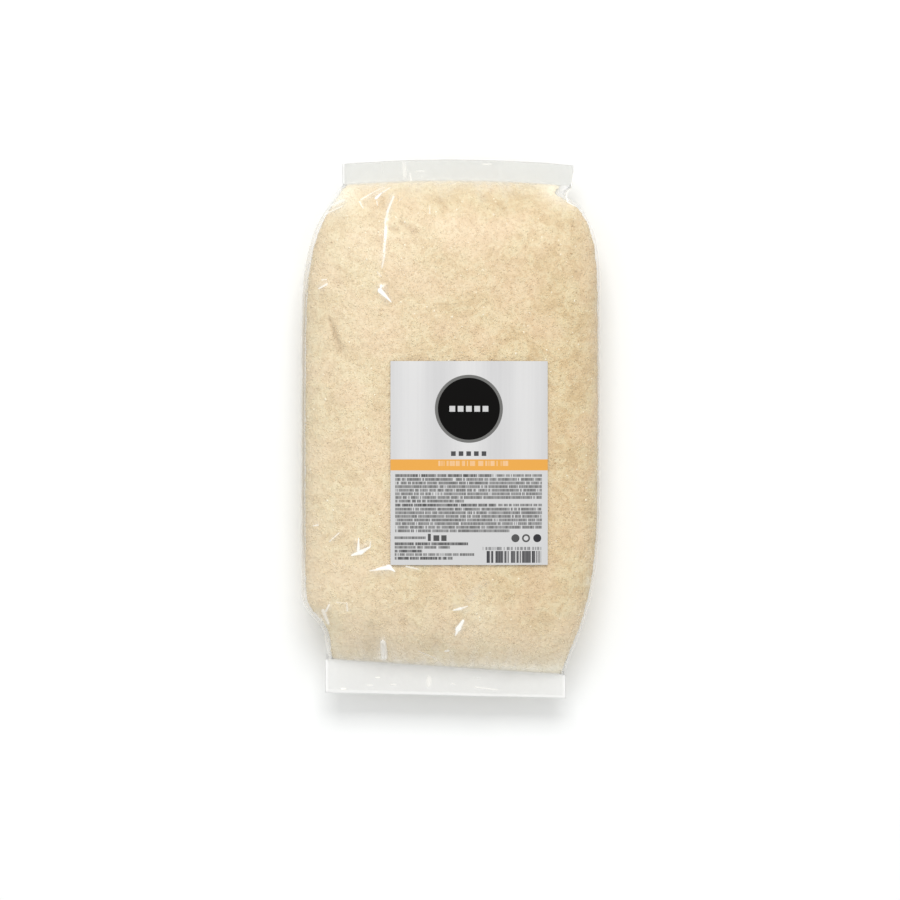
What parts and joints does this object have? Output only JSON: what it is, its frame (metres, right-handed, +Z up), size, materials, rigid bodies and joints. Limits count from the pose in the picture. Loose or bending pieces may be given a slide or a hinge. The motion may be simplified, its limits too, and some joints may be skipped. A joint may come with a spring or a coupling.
{
  "type": "sugar packet",
  "caption": "Clear side-gusset film bag filled with golden cane sugar, sealed flat at both ends, with a rectangular label on its front, lying on its back.",
  "frame": {"origin": "centre of the bounding box, on the surface that the bag lies on", "axes": "+X across the bag, +Y from the bottom seal towards the top seal, +Z up out of the front"},
  "size_m": [0.1438, 0.259, 0.0463],
  "materials": {
    "film": "clear, glossy, thin film, creased near the seals",
    "sugar": "fine granular crystals, pale golden, slightly glistening",
    "label": "satin printed sheet, silvery grey upper field, orange band, pale lower panel"
  },
  "bodies": {
    "root": {"bag": "film", "label": "label"}
  },
  "joints": []
}
